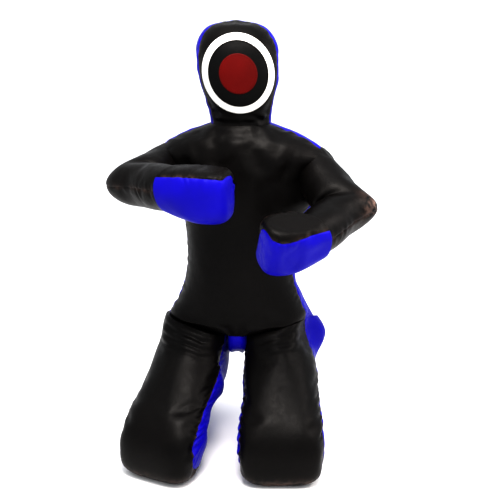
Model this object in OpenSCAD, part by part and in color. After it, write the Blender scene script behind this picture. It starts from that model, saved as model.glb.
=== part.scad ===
// Grappling dummy, kneeling with its hands held in front.
// Leather panels are sewn round separately packed fillings. Millimetres, +Z up.
// The dummy faces -Y; its left is +X. The origin is on the floor under the middle of its box.

/* [Trunk] */
// Height of the neck seam
neck_z = 893; // [870:1:910]
// Width over the two shoulder caps
shoulder_w = 466; // [430:1:480]
// Width of the chest under the armpits
chest_w = 292; // [270:1:310]
// Width of the waist
waist_w = 288; // [260:1:310]
// Width of the hips
hips_w = 398; // [370:1:410]
// Depth of the chest, front to back
chest_d = 212; // [190:1:230]

/* [Head] */
// Height of the crown
crown_z = 1155; // [1140:1:1170]
// Width of the head
head_w = 216; // [200:1:230]
// Width of the neck
neck_w = 158; // [140:1:170]
// How far the face is turned towards the dummy's left, in degrees
head_yaw = 8; // [-15:1:15]
// How far the head leans to the dummy's right, in degrees
head_lean = 3; // [-6:1:6]
// Width of the white target disc
target_w = 184; // [150:1:190]
// Height of the white target disc
target_h = 200; // [150:1:205]

/* [Arms] */
// Thickness of the upper arm
arm_d = 118; // [100:1:122]
// Thickness of the forearm
forearm_d = 114; // [95:1:120]
// Middle of the armhole, right side; the left is its mirror image
armhole = [-188, 0, 776]; // [-200:1:800]
// Middle of the right elbow
right_elbow = [-249, -140, 750]; // [-340:1:800]
// Middle of the right wrist
right_wrist = [-130, -256, 760]; // [-340:1:800]
// Middle of the left elbow
left_elbow = [282, -110, 690]; // [-340:1:800]
// Middle of the left wrist
left_wrist = [206, -252, 650]; // [-340:1:800]

/* [Hands] */
// Length of a hand from the wrist seam to the fingertips
hand_l = 152; // [140:1:165]
// Height of a hand's wall
hand_h = 132; // [120:1:136]
// Thickness of a hand from palm to back
hand_t = 114; // [95:1:118]

/* [Legs] */
// Width of the thigh at the hip
thigh_w = 188; // [180:1:190]
// Width over the squared knee
knee_w = 218; // [200:1:220]
// Width of the shin
shin_w = 132; // [110:1:145]
// Half the distance between the hip joints
hip_x = 104; // [102:1:108]
// How far the right thigh is turned out, in degrees
right_thigh_yaw = 14; // [12:1:18]
// How much further the right knee is twisted outwards, in degrees
right_knee_twist = 6; // [0:1:8]
// How far the left thigh is turned out, in degrees
left_thigh_yaw = 8; // [7:1:22]
// How far the feet are turned out behind the knees, in degrees
shin_yaw = 1; // [0:1:4]
// How far forward the left knee reaches, as a share of the right knee's reach
left_reach = 0.93; // [0.9:0.01:1]

/* [Leather and filling] */
// Thickness of the leather
skin = 2; // [1.5:0.1:2.5]
// Gap between the leather and the filling
slack = 3.5; // [3:0.1:5]
// How far round to the front the back panels of the body and legs reach, in degrees
rim = 9; // [4:1:14]
// How far round to the front the back panel of the head reaches, in degrees
head_rim = 22; // [14:1:26]

/* [Zip] */
// Length of the filling zip in the back
zip_l = 236; // [200:1:240]
// Width of one zip tape
tape_w = 8; // [7:0.5:8.5]
// Distance from one zip tooth to the next
tooth_pitch = 5; // [4:0.5:6]

/* [Hidden] */

// The dummy is drawn round its own spine and then moved so that its box is centred.
centring = [-16, 83, 0];

black = [0.03, 0.03, 0.035];
blue = [0.09, 0.05, 0.80];
white = [0.9, 0.9, 0.88];
red = [0.42, 0.05, 0.04];
wadding = [0.75, 0.72, 0.66];
tape_blue = [0.05, 0.04, 0.35];
metal = [0.6, 0.6, 0.62];

// ---- Vectors and sections ------------------------------------------------

function unit(v) = v / norm(v);
function mix(a, b, f) = a + (b - a) * f;
function mirrored(p) = [-p[0], p[1], p[2]];
function turned(p, a) = [p[0] * cos(a) - p[1] * sin(a), p[0] * sin(a) + p[1] * cos(a), p[2]];

// A section is [centre, half-width vector, half-depth vector, squareness].
// Squareness 2 is an ellipse, and larger values are squarer.
function across(c, dir, side, w, d, n) =
    let (v = unit(cross(dir, side)), u = unit(cross(v, dir)))
    [c, u * w / 2, v * d / 2, n];

// Catmull-Rom curve through four values, f from 0 to 1 between the middle two.
function smooth(a, b, c, d, f) =
    0.5 * (2 * b + (c - a) * f + (2 * a - 5 * b + 4 * c - d) * f * f
        + (3 * b - a - 3 * c + d) * f * f * f);

// The section at place t along a list, where t counts sections.
function section_at(list, t) =
    let (last = len(list) - 1, i = max(0, min(floor(t), last - 1)), f = t - i,
        a = list[max(i - 1, 0)], b = list[i], c = list[i + 1], d = list[min(i + 2, last)])
    [for (k = [0:3]) smooth(a[k], b[k], c[k], d[k], f)];

function rounded_power(x, n) = sign(x) * pow(abs(x), 2 / n);

// The point at angle a on a section grown by off; nothing goes lower than low.
function rim_point(s, a, off, low) =
    let (wide = s[1] * (1 + off / norm(s[1])), deep = s[2] * (1 + off / norm(s[2])),
        p = s[0] + wide * rounded_power(cos(a), s[3]) + deep * rounded_power(sin(a), s[3]))
    [p[0], p[1], max(p[2], low)];

// The place along a head or trunk list at height z, found by halving the list again and again.
function place_at(list, z) = halved(list, z, list[1][0][2] > list[0][0][2], 0, len(list) - 1, 14);
function halved(list, z, rising, low, high, turns) =
    let (m = (low + high) / 2, further = (section_at(list, m)[0][2] < z) == rising)
    turns == 0 ? m : halved(list, z, rising, further ? m : low, further ? high : m, turns - 1);

// Whether the sections turn the other way round their path, which turns the faces over.
function turns_over(list) =
    let (s = list[0]) cross(s[1], s[2]) * (list[1][0] - s[0]) > 0;

// ---- Solids made from sections -------------------------------------------

function split_quad(q) = [[q[0], q[1], q[2]], [q[0], q[2], q[3]]];
function reversed(f) = [for (i = [len(f) - 1:-1:0]) f[i]];

module solid(points, quads, triangles, over) {
    faces = concat(triangles, [for (q = quads) each split_quad(q)]);
    translate(centring)
        polyhedron(points, over ? [for (f = faces) reversed(f)] : faces, convexity = 6);
}

// A panel of leather: part of the way round the sections, from place t0 to t1.
// Its two edges are functions of the place along the list that give an angle.
// t0 may be a function of that angle, where the panel starts along a slanting seam.
module panel(list, t0, t1, rows, edge0, edge1, cols) {
    n = cols + 1;
    far = (rows + 1) * n;
    starts = [for (j = [0:cols])
        is_function(t0) ? t0(mix(edge0(t1), edge1(t1), j / cols)) : t0];
    points = [for (inner = [0, 1]) for (i = [0:rows]) for (j = [0:cols])
        let (t = mix(starts[j], t1, i / rows))
        rim_point(section_at(list, t), mix(edge0(t), edge1(t), j / cols),
            -inner * skin, inner * skin)];
    cell = function (i, j, k) let (p = k + i * n + j) [p, p + 1, p + n + 1, p + n];
    cells = [for (i = [0:rows - 1]) for (j = [0:cols - 1]) [i, j]];
    first = [for (j = [0:cols - 1]) [j + 1, j, far + j, far + j + 1]];
    final = [for (j = [0:cols - 1]) let (b = rows * n + j) [b, b + 1, far + b + 1, far + b]];
    left = [for (i = [0:rows - 1]) let (b = i * n) [b, b + n, far + b + n, far + b]];
    right = [for (i = [0:rows - 1])
        let (b = i * n + cols) [b + n, b, far + b, far + b + n]];
    solid(points, concat([for (c = cells) cell(c[0], c[1], 0)],
        [for (c = cells) reversed(cell(c[0], c[1], far))], first, final, left, right),
        [], turns_over(list));
}

// An edge that stays at one angle.
function at(angle) = function (t) angle;
seam = 0.6;
front_right = at(rim);
front_left = at(180 - rim);
back_left = at(180 - rim + seam);
back_right = at(360 + rim - seam);

// How full a filling is from one end (0) to the other (1): round ends, full middle.
function fullness(x, k) = pow(1 - pow(abs(2 * x - 1), k), 1 / k);

// A filling: a closed bag along the sections, just inside the leather, with round ends.
// roundness is low for a long taper to each end and high for a blunt end.
module filling(list, t0, t1, rows, cols, roundness, extra_gap = 0) {
    tip = 0.0125;
    gap = skin + slack + extra_gap;
    places = [for (i = [0:rows]) mix(tip, 1 - tip, 0.5 - 0.5 * cos(180 * i / rows))];
    points = concat(
        [for (x = places) for (j = [0:cols - 1])
            let (s = section_at(list, mix(t0, t1, x)), f = fullness(x, roundness))
            rim_point([s[0], s[1] * f, s[2] * f, s[3]], 360 * j / cols, -gap * f, gap)],
        [for (x = [tip, 1 - tip]) section_at(list, mix(t0, t1, x))[0]]);
    last = rows * cols;
    middle = (rows + 1) * cols;
    next = function (j) (j + 1) % cols;
    sides = [for (i = [0:rows - 1]) for (j = [0:cols - 1])
        let (b = i * cols) [b + j, b + next(j), b + cols + next(j), b + cols + j]];
    start = [for (j = [0:cols - 1]) [next(j), j, middle]];
    finish = [for (j = [0:cols - 1]) [last + j, last + next(j), middle + 1]];
    solid(points, sides, concat(start, finish), turns_over(list));
}

// ---- Sections of the trunk, from the neck seam down ----------------------

// A level of the trunk or head: height of its front, width, front and back depth, squareness
// and how much lower its back is than its front.
function level(z, w, front, back, n, drop = 0) =
    [[0, (back - front) / 2, z - drop / 2], [w / 2, 0, 0],
        [0, -(front + back) / 2, drop / 2], n];

// The trunk ends below in a shallow V along the groin, and its back hangs lower.
groin_drop = 43;
groin_slope = 0.25;

chest_front = chest_d * 0.53;
trunk_back = chest_d - chest_front;
trunk = [
    level(neck_z, neck_w + 4, 78, 72, 2.1),
    level(neck_z - 21, neck_w + 126, 88, 82, 2.0),
    level(neck_z - 43, shoulder_w - 90, 98, 90, 2.0),
    level(neck_z - 65, shoulder_w - 28, 104, 96, 2.0),
    level(neck_z - 86, shoulder_w, 108, trunk_back, 2.0),
    level(neck_z - 114, chest_w + 96, chest_front, trunk_back, 2.1),
    level(neck_z - 148, chest_w + 26, chest_front, trunk_back, 2.4),
    level(neck_z - 215, chest_w + 14, chest_front, trunk_back, 2.5),
    level(neck_z - 285, chest_w + 2, chest_front, trunk_back, 2.5),
    level(neck_z - 350, waist_w, chest_front + 2, trunk_back, 2.5),
    level(neck_z - 420, waist_w + 14, chest_front + 2, 104, 2.5),
    level(neck_z - 480, hips_w - 52, chest_front, 114, 2.5),
    level(neck_z - 520, hips_w, 106, 124, 2.8, groin_drop),
    level(neck_z - 537, hips_w * 0.66, 105, 118, 5, groin_drop),
    level(neck_z - 553, hips_w * 0.34, 102, 102, 6, groin_drop),
    level(neck_z - 566, hips_w * 0.09, 97, 84, 6, groin_drop)
];
gusset = [
    level(neck_z - 568, hips_w * 0.075, 95, 82, 4, groin_drop),
    level(neck_z - 586, hips_w * 0.06, 78, 68, 3, groin_drop),
    level(neck_z - 604, hips_w * 0.02, 50, 46, 2, groin_drop)
];

// ---- Sections of the head, from the neck seam up -------------------------

function head_level(z, w, front, back, n) =
    let (s = level(z, w, front, back, n), lean = [-(z - neck_z) * tan(head_lean), 0, 0])
    [turned(s[0], head_yaw) + lean, turned(s[1], head_yaw), turned(s[2], head_yaw), n];

head_h = crown_z - neck_z;
head = [
    head_level(neck_z + 1, neck_w, 76, 70, 2.1),
    head_level(neck_z + head_h * 0.10, neck_w + 6, 84, 74, 2.2),
    head_level(neck_z + head_h * 0.24, head_w - 32, 96, 84, 2.3),
    head_level(neck_z + head_h * 0.42, head_w - 8, 104, 94, 2.4),
    head_level(neck_z + head_h * 0.58, head_w, 107, 100, 2.4),
    head_level(neck_z + head_h * 0.75, head_w - 5, 103, 98, 2.3),
    head_level(neck_z + head_h * 0.88, head_w - 36, 84, 82, 2.2),
    head_level(neck_z + head_h * 0.96, head_w - 90, 55, 54, 2.1),
    head_level(crown_z, 24, 11, 11, 2)
];

// ---- Sections of an arm and a hand ---------------------------------------

// The arm runs from the armhole round the elbow to the wrist. bend points into the elbow.
function arm_sections(root, elbow, wrist, bend) =
    let (upper = unit(elbow - root), lower = unit(wrist - elbow), mitre = unit(upper + lower),
        stretch = 1 / (upper * mitre), reach = norm(elbow - root), fore = norm(wrist - elbow))
    [
        across(root - upper * 50, upper, bend, arm_d + 4, arm_d + 8, 2),
        across(root + upper * 30, upper, bend, arm_d + 4, arm_d + 8, 2),
        across(root + upper * reach * 0.46, upper, bend, arm_d + 12, arm_d + 2, 2),
        across(elbow - upper * 46, upper, bend, arm_d + 12, arm_d, 2),
        across(elbow, mitre, bend, arm_d * (stretch + 0.06), arm_d - 6, 2),
        across(elbow + lower * 50, lower, bend, forearm_d + 4, forearm_d - 4, 2),
        across(elbow + lower * fore * 0.66, lower, bend, forearm_d, forearm_d, 2.1),
        across(wrist, lower, bend, forearm_d - 10, forearm_d - 2, 2.2)
    ];

// The place where the sleeve line at angle a comes out of the trunk, found by halving.
armhole_gap = 2.5;
function in_trunk(p) =
    let (s = section_at(trunk, place_at(trunk, p[2])), v = p - s[0],
        x = v * unit(s[1]) / (norm(s[1]) + armhole_gap),
        y = v * unit(s[2]) / (norm(s[2]) + armhole_gap))
    pow(abs(x), s[3]) + pow(abs(y), s[3]) < 1;
function comes_out(list, a, low = 0.5, high = 2, turns = 10) =
    let (m = (low + high) / 2, s = section_at(list, m),
        hidden = in_trunk(rim_point(s, a, 0, 0)) || in_trunk(rim_point(s, a, -skin, 0)))
    turns == 0 ? high : comes_out(list, a, hidden ? m : low, hidden ? high : m, turns - 1);

// The hand starts at the wrist seam and points along dir. Its flat top faces up, and palm
// points from the back of the hand to the palm.
function hand_sections(wrist, start, dir, up, palm) =
    let (place = function (f, drop, w, h, n)
            let (s = across(wrist + dir * hand_l * f - up * drop, dir, palm, w, h, n),
                lift = s[2] * up > 0 ? s[2] : -s[2])
            [s[0], s[1], lift, n],
        cuff = across(wrist + start * 1.5, start, palm, hand_t, hand_h * 0.86, 2.3))
    [
        [cuff[0], cuff[1], cuff[2] * up > 0 ? cuff[2] : -cuff[2], cuff[3]],
        place(0.24, 3, hand_t + 4, hand_h * 0.96, 2.8),
        place(0.50, 5, hand_t + 2, hand_h, 3.4),
        place(0.76, 4, hand_t * 0.96, hand_h * 0.99, 3.4),
        place(0.91, 3, hand_t * 0.78, hand_h * 0.93, 3.2),
        place(0.98, 2, hand_t * 0.50, hand_h * 0.76, 2.8),
        place(1, 2, hand_t * 0.2, hand_h * 0.34, 2.2)
    ];

left_armhole = mirrored(armhole);
right_arm = arm_sections(armhole, right_elbow, right_wrist, [1, -0.1, 0.05]);
left_arm = arm_sections(left_armhole, left_elbow, left_wrist, [-1, -0.1, -0.1]);

right_hand_dir = unit([0.97, -0.22, -0.04]);
left_hand_dir = unit([-0.87, -0.49, -0.08]);
right_hand_up = unit([0.04, -0.16, 0.98]);
left_hand_up = unit([0.02, -0.49, 0.87]);
right_hand = hand_sections(right_wrist, unit(right_wrist - right_elbow),
    right_hand_dir, right_hand_up, cross(right_hand_up, right_hand_dir));
left_hand = hand_sections(left_wrist, unit(left_wrist - left_elbow),
    left_hand_dir, left_hand_up, cross(left_hand_dir, left_hand_up));

// ---- Sections of a leg ---------------------------------------------------

// Each line gives the front point and the back point of one section, as [forward, up] from
// under the hip joint, then its width, its squareness and how much of the way it has turned
// from the thigh's direction to the shin's. The front points run down the thigh, round the
// knee and back along the floor.
thigh_profile = [
    [[104, 345], [-118, 299], thigh_w, 2.8, 0],
    [[146, 300], [-128, 252], thigh_w + 6, 2.5, 0],
    [[200, 250], [-76, 198], thigh_w + 16, 2.8, 0],
    [[254, 204], [26, 164], knee_w - 10, 3.1, 0],
    [[304, 162], [122, 136], knee_w - 4, 3.4, 0],
    [[336, 120], [176, 119], knee_w - 1, 3.6, 0],
    [[348, 72], [188, 114], knee_w + 1, 3.8, 0],
    [[343, 32], [189, 112], knee_w, 3.8, 0]
];
shin_profile = [
    [[337, 10], [188, 109], knee_w - 4, 3.8, 0],
    [[304, -4], [179, 108], knee_w - 12, 3.4, 0.06],
    [[262, -5], [168, 107], knee_w - 34, 3.0, 0.3],
    [[196, -5], [146, 106], shin_w + 18, 2.8, 0.65],
    [[96, -5], [84, 104], shin_w, 2.7, 1],
    [[4, -5], [4, 96], shin_w - 16, 2.6, 1],
    [[-66, -5], [-62, 84], shin_w - 34, 2.6, 1],
    [[-114, -5], [-108, 80], shin_w - 32, 2.6, 1]
];
foot_profile = [
    [[-116, -5], [-110, 80], shin_w - 32, 2.6, 1],
    [[-148, -4], [-146, 76], shin_w - 30, 2.6, 1],
    [[-172, 2], [-174, 66], shin_w - 40, 2.5, 1],
    [[-186, 12], [-188, 52], shin_w - 66, 2.3, 1],
    [[-192, 28], [-192, 36], 12, 2, 1]
];
// How far ahead of the hip joint the thigh's and the shin's directions meet.
knee_forward = 262;

// side is -1 on the right leg. The shin turns about the knee, the thigh about the hip, and
// what lies behind the hip joint on the thigh isn't turned.
function leg_point(p, side, thigh_yaw, yaw) =
    let (reach = side > 0 ? left_reach : 1, knee = knee_forward * reach,
        seat = yaw == thigh_yaw ? min(p[0], 0) : 0,
        forward = p[0] > 0 ? p[0] * reach : p[0] - seat)
    turned([0, -knee, 0], side * thigh_yaw)
    + turned([0, knee - forward, p[1]], side * yaw) + [side * hip_x, -seat, 0];
// The right knee is twisted out more and more down the thigh, and its foot is not.
full_twist_at = 300;
function leg_section(line, side, thigh_yaw) =
    let (yaw = mix(thigh_yaw, -shin_yaw, line[4]),
        knee_share = min(1, max(0, line[0][0]) / full_twist_at) * (1 - line[4]),
        twist = side > 0 ? 0 : -right_knee_twist * knee_share,
        front = leg_point(line[0], side, thigh_yaw, yaw),
        back = leg_point(line[1], side, thigh_yaw, yaw))
    [(front + back) / 2, turned([line[2] / 2, 0, 0], side * yaw + twist),
        turned((front - back) / 2, twist), line[3]];
function leg_sections(profile, side, yaw) = [for (line = profile) leg_section(line, side, yaw)];

// The top of the thigh slopes up and out, along the groin.
function tilted_top(list, side) =
    [for (i = [0:len(list) - 1])
        let (s = list[i], f = max(0, 1 - i / 2), lift = s[1][0] * side * groin_slope * f)
        [s[0], s[1] + [0, 0, lift], s[2], s[3]]];

right_thigh = tilted_top(leg_sections(thigh_profile, -1, right_thigh_yaw), -1);
left_thigh = tilted_top(leg_sections(thigh_profile, 1, left_thigh_yaw), 1);
right_shin = leg_sections(shin_profile, -1, right_thigh_yaw);
left_shin = leg_sections(shin_profile, 1, left_thigh_yaw);
right_foot = leg_sections(foot_profile, -1, right_thigh_yaw);
left_foot = leg_sections(foot_profile, 1, left_thigh_yaw);

// ---- Head ----------------------------------------------------------------

head_end = len(head) - 1;
module head_front_panel() color(black)
    panel(head, 0, head_end, 14, at(head_rim), at(180 - head_rim), 12);
module head_back_panel() color(blue)
    panel(head, 0, head_end, 14, at(180 - head_rim + seam), at(360 + head_rim - seam), 12);
module head_filling() color(wadding) filling(head, 0.5, head_end - 0.1, 11, 20, 3);

// The point of the face at sideways distance x and height z, lifted off the leather.
function face_point(x, z, lift) =
    let (s = section_at(head, place_at(head, z)), w = norm(s[1]) + lift, d = norm(s[2]) + lift,
        y = pow(1 - pow(min(abs(x) / w, 1), s[3]), 1 / s[3]))
    s[0] + unit(s[1]) * x + unit(s[2]) * d * y;

// The target is three discs stacked on the face. layer counts from the leather out.
target_z = neck_z + head_h * 0.508;
disc_t = 1.2;
module target_disc(w, h, layer) {
    cols = 24;
    rows = 6;
    foot = 1.3 + layer * (disc_t + 0.5);
    spot = function (r, a, lift)
        face_point(r * w / 2 * cos(a), target_z + r * h / 2 * sin(a), lift);
    points = concat(
        [for (lift = [foot, foot + disc_t]) for (i = [1:rows]) for (j = [0:cols - 1])
            spot(i / rows, 360 * j / cols, lift)],
        [for (lift = [foot, foot + disc_t]) spot(0, 0, lift)]);
    sheet = rows * cols;
    ring = function (k, i, j) k * sheet + i * cols + j % cols;
    quads = function (k) [for (i = [0:rows - 2]) for (j = [0:cols - 1])
        [ring(k, i, j), ring(k, i, j + 1), ring(k, i + 1, j + 1), ring(k, i + 1, j)]];
    fan = function (k) [for (j = [0:cols - 1]) [2 * sheet + k, ring(k, 0, j + 1), ring(k, 0, j)]];
    edge = [for (j = [0:cols - 1])
        [ring(0, rows - 1, j + 1), ring(0, rows - 1, j),
            ring(1, rows - 1, j), ring(1, rows - 1, j + 1)]];
    solid(points, concat([for (q = quads(0)) reversed(q)], quads(1), edge),
        concat([for (f = fan(0)) reversed(f)], fan(1)), false);
}
module target_white_disc() color(white) target_disc(target_w, target_h, 0);
module target_black_disc() color(black) target_disc(target_w * 0.82, target_h * 0.82, 1);
module target_red_disc() color(red) target_disc(target_w * 0.52, target_h * 0.5, 2);

// ---- Trunk ---------------------------------------------------------------

trunk_end = len(trunk) - 1;
trunk_rows = 2 * trunk_end;
// The zip lies in the straight stretch of the back, between these two levels.
zip_top_level = 3.9;
zip_end_level = 9.1;
zip_half_angle = 2.5;
zip_gap = function (t) t > zip_top_level && t < zip_end_level ? zip_half_angle : 0.25;
back_middle_right = function (t) 270 - zip_gap(t);
back_middle_left = function (t) 270 + zip_gap(t);

module torso_front_panel() color(black)
    panel(trunk, 0, trunk_end, trunk_rows, front_right, front_left, 12);
module torso_back_right_panel() color(blue)
    panel(trunk, 0, trunk_end, trunk_rows, back_left, back_middle_right, 7);
module torso_back_left_panel() color(blue)
    panel(trunk, 0, trunk_end, trunk_rows, back_middle_left, back_right, 7);
module crotch_gusset() color(blue) panel(gusset, 0, 2, 4, at(0), at(359.5), 14);
// The trunk narrows and widens fast, so its fillings keep further off the leather.
trunk_gap = 3.5;
module chest_filling() color(wadding) filling(trunk, 0.4, 9.2, 16, 24, 3.2, trunk_gap);
module pelvis_filling() color(wadding) filling(trunk, 9.6, 14.5, 14, 24, 2.4, trunk_gap);

// ---- Zip -----------------------------------------------------------------

zip_z = neck_z - 215;
tape_t = 0.8;
tape_y = trunk_back - 2.2;
tooth = [3, 1.8, 2.1];
teeth_y = tape_y + tape_t;
slider_y = teeth_y + tooth[1] + 0.5;
slider_l = 18;
slider_w = 12;
slider_top = 2.2;
lug_h = 5.5;
pin_r = 1;
pin_y = slider_y + slider_top + lug_h - 2;
pull_w = 10;
pull_l = 34;
pull_t = 1.8;

module on_back(z) translate(centring + [0, 0, z]) children();

// side is -1 for the dummy's right tape and 1 for its left one.
module zip_tape(side) {
    on_back(zip_z)
        translate([side * (tape_w / 2 + 1.2), tape_y + tape_t / 2, 0])
            cube([tape_w, tape_t, zip_l], center = true);
}
module zip_teeth(side) {
    count = floor((zip_l - 14) / tooth_pitch);
    for (i = [0:count - 1])
        on_back(zip_z - zip_l / 2 + 8 + (i + (side > 0 ? 0.5 : 0)) * tooth_pitch)
            translate([side * 1.6, teeth_y + tooth[1] / 2, 0])
                cube([tooth[0] + 1, tooth[1], tooth[2]], center = true);
}
module zip_right_tape() color(tape_blue) zip_tape(-1);
module zip_left_tape() color(tape_blue) zip_tape(1);
module zip_right_teeth() color(metal) zip_teeth(-1);
module zip_left_teeth() color(metal) zip_teeth(1);

// The slider stands at the top of the closed zip. Its pull hangs from a pin across two lugs.
slider_z = zip_z + zip_l / 2 - slider_l / 2 - 4;
pin_z = slider_z + slider_l / 2 - 4;
module zip_slider() color(metal) {
    on_back(slider_z)
        translate([0, slider_y + slider_top / 2, 0])
            cube([slider_w, slider_top, slider_l], center = true);
    for (side = [-1, 1])
        on_back(pin_z)
            translate([side * 3.3, slider_y + slider_top + lug_h / 2 - 0.1, 0])
                cube([1.4, lug_h + 0.2, 5], center = true);
    on_back(pin_z)
        translate([0, pin_y, 0]) rotate([0, 90, 0]) cylinder(h = 7, r = pin_r, center = true, $fn = 32);
}
module zip_pull() color(metal) {
    eye_w = 4.4;
    eye_r = 2.4;
    neck_l = 7;
    difference() {
        union() {
            on_back(pin_z)
                translate([0, pin_y, 0]) rotate([0, 90, 0])
                    cylinder(h = eye_w, r = eye_r, center = true, $fn = 32);
            on_back(pin_z - neck_l / 2)
                translate([0, pin_y, 0]) cube([eye_w, pull_t, neck_l], center = true);
            on_back(pin_z - neck_l - (pull_l - neck_l) / 2)
                translate([0, pin_y, 0]) cube([pull_w, pull_t, pull_l - neck_l], center = true);
        }
        on_back(pin_z)
            translate([0, pin_y, 0]) rotate([0, 90, 0])
                cylinder(h = eye_w + 2, r = pin_r + 0.35, center = true, $fn = 32);
        on_back(pin_z - pull_l + 7)
            translate([0, pin_y, 0]) rotate([90, 0, 0])
                cylinder(h = pull_t + 2, r = 2.6, center = true, $fn = 32);
    }
}

// ---- Arms and hands ------------------------------------------------------

wrist_place = 7;
module sleeve(list, edge0, edge1) color(black)
    panel(list, function (a) comes_out(list, a), wrist_place, 13, at(edge0), at(edge1), 9);
module sleeve_upper(list) sleeve(list, 1, 179);
module sleeve_under(list) sleeve(list, 181, 359);
module right_sleeve_upper_panel() sleeve_upper(right_arm);
module right_sleeve_under_panel() sleeve_under(right_arm);
module left_sleeve_upper_panel() sleeve_under(left_arm);
module left_sleeve_under_panel() sleeve_upper(left_arm);

module upper_arm_filling(list) color(wadding) filling(list, 1.6, 3.75, 8, 16, 2.3);
module forearm_filling(list) color(wadding) filling(list, 4.3, 6.95, 8, 16, 2.4);
module right_upper_arm_filling() upper_arm_filling(right_arm);
module left_upper_arm_filling() upper_arm_filling(left_arm);
module right_forearm_filling() forearm_filling(right_arm);
module left_forearm_filling() forearm_filling(left_arm);

// Round a hand, 0 degrees is the palm and 90 degrees is the top.
// The wall wraps round the fingertips, where the top and the palm taper to a corner.
top_from = 48;
top_to = 132;
wall_to = 312;
taper_from = 4.2;
taper_to = 5.6;
top_end = 5.45;
wrapped = function (t) let (x = min(1, max(0, (t - taper_from) / (taper_to - taper_from))))
    x * x * (3 - 2 * x);
wall_start = function (t) mix(top_to, top_from + 2, wrapped(t));
wall_end = function (t) mix(wall_to, 360 + top_from - 3, wrapped(t));
module hand_top(list) color(black)
    panel(list, 0, top_end, 10, at(top_from + 1), function (t) wall_start(t) - 1, 5);
module hand_wall(list) color(blue) panel(list, 0, 6, 10, wall_start, wall_end, 10);
module hand_palm(list) color(black)
    panel(list, 0, top_end, 10, function (t) wall_end(t) + 1, at(360 + top_from), 8);
module hand_filling(list) color(wadding) filling(list, 0.3, 5.9, 8, 16, 3.6);
module right_hand_top_panel() hand_top(right_hand);
module right_hand_wall_panel() hand_wall(right_hand);
module right_palm_panel() hand_palm(right_hand);
module right_hand_filling() hand_filling(right_hand);
module left_hand_top_panel() hand_top(left_hand);
module left_hand_wall_panel() hand_wall(left_hand);
module left_palm_panel() hand_palm(left_hand);
module left_hand_filling() hand_filling(left_hand);

// ---- Legs and feet -------------------------------------------------------

module thigh_front(list) color(black) panel(list, 0, 7, 14, front_right, front_left, 10);
module thigh_back(list) color(blue) panel(list, 0, 7, 14, back_left, back_right, 10);
module right_thigh_front_panel() thigh_front(right_thigh);
module right_thigh_back_panel() thigh_back(right_thigh);
module left_thigh_front_panel() thigh_front(left_thigh);
module left_thigh_back_panel() thigh_back(left_thigh);

module shin_floor(list) color(black) panel(list, 0, 7, 11, front_right, front_left, 10);
module calf(list) color(blue) panel(list, 0, 7, 11, back_left, back_right, 10);
module right_shin_floor_panel() shin_floor(right_shin);
module right_calf_panel() calf(right_shin);
module left_shin_floor_panel() shin_floor(left_shin);
module left_calf_panel() calf(left_shin);

module foot_casing(list) color(black) panel(list, 0, 4, 6, at(0), at(359.3), 16);
module right_foot_panel() foot_casing(right_foot);
module left_foot_panel() foot_casing(left_foot);

module thigh_filling(list) color(wadding) filling(list, 0.22, 5.9, 10, 18, 2.3);
module shin_filling(list) color(wadding) filling(list, 1.7, 6.9, 10, 18, 2.6);
module foot_filling(list) color(wadding) filling(list, 0.05, 3.9, 6, 14, 3);
module right_thigh_filling() thigh_filling(right_thigh);
module left_thigh_filling() thigh_filling(left_thigh);
module right_shin_filling() shin_filling(right_shin);
module left_shin_filling() shin_filling(left_shin);
module right_foot_filling() foot_filling(right_foot);
module left_foot_filling() foot_filling(left_foot);

head_front_panel();
head_back_panel();
target_white_disc();
target_black_disc();
target_red_disc();
head_filling();
torso_front_panel();
torso_back_right_panel();
torso_back_left_panel();
crotch_gusset();
chest_filling();
pelvis_filling();
zip_right_tape();
zip_left_tape();
zip_right_teeth();
zip_left_teeth();
zip_slider();
zip_pull();
right_sleeve_upper_panel();
right_sleeve_under_panel();
left_sleeve_upper_panel();
left_sleeve_under_panel();
right_upper_arm_filling();
left_upper_arm_filling();
right_forearm_filling();
left_forearm_filling();
right_hand_top_panel();
right_hand_wall_panel();
right_palm_panel();
right_hand_filling();
left_hand_top_panel();
left_hand_wall_panel();
left_palm_panel();
left_hand_filling();
right_thigh_front_panel();
right_thigh_back_panel();
left_thigh_front_panel();
left_thigh_back_panel();
right_thigh_filling();
left_thigh_filling();
right_shin_floor_panel();
right_calf_panel();
right_foot_panel();
left_shin_floor_panel();
left_calf_panel();
left_foot_panel();
right_shin_filling();
left_shin_filling();
right_foot_filling();
left_foot_filling();
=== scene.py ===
"""Grappling dummy, kneeling: stuffed leather body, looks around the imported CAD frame."""
import math
import random

import bpy
import numpy as np
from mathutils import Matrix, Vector
from mathutils.bvhtree import BVHTree


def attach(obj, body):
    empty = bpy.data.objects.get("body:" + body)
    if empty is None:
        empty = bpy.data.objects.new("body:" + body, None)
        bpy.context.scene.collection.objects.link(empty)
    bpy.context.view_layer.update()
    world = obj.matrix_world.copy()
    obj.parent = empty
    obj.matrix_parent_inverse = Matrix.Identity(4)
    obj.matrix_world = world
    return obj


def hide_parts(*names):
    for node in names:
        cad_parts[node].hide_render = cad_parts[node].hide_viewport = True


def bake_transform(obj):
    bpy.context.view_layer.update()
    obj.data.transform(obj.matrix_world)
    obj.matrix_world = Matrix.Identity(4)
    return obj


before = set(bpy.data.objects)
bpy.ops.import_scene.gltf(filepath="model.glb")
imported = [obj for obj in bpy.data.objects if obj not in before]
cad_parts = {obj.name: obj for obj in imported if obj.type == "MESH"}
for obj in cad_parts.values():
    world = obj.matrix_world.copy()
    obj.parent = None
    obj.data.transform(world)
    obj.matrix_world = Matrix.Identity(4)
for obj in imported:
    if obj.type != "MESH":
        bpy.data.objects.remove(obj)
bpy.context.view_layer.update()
scene = bpy.context.scene
random.seed(7)
rng = np.random.default_rng(7)

# The drawing is in millimetres round the dummy's own spine, then moved as the CAD is.
MM = 0.001
CENTRING = np.array([-16.0, 83.0, 0.0])
THICK = 2.0


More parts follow.
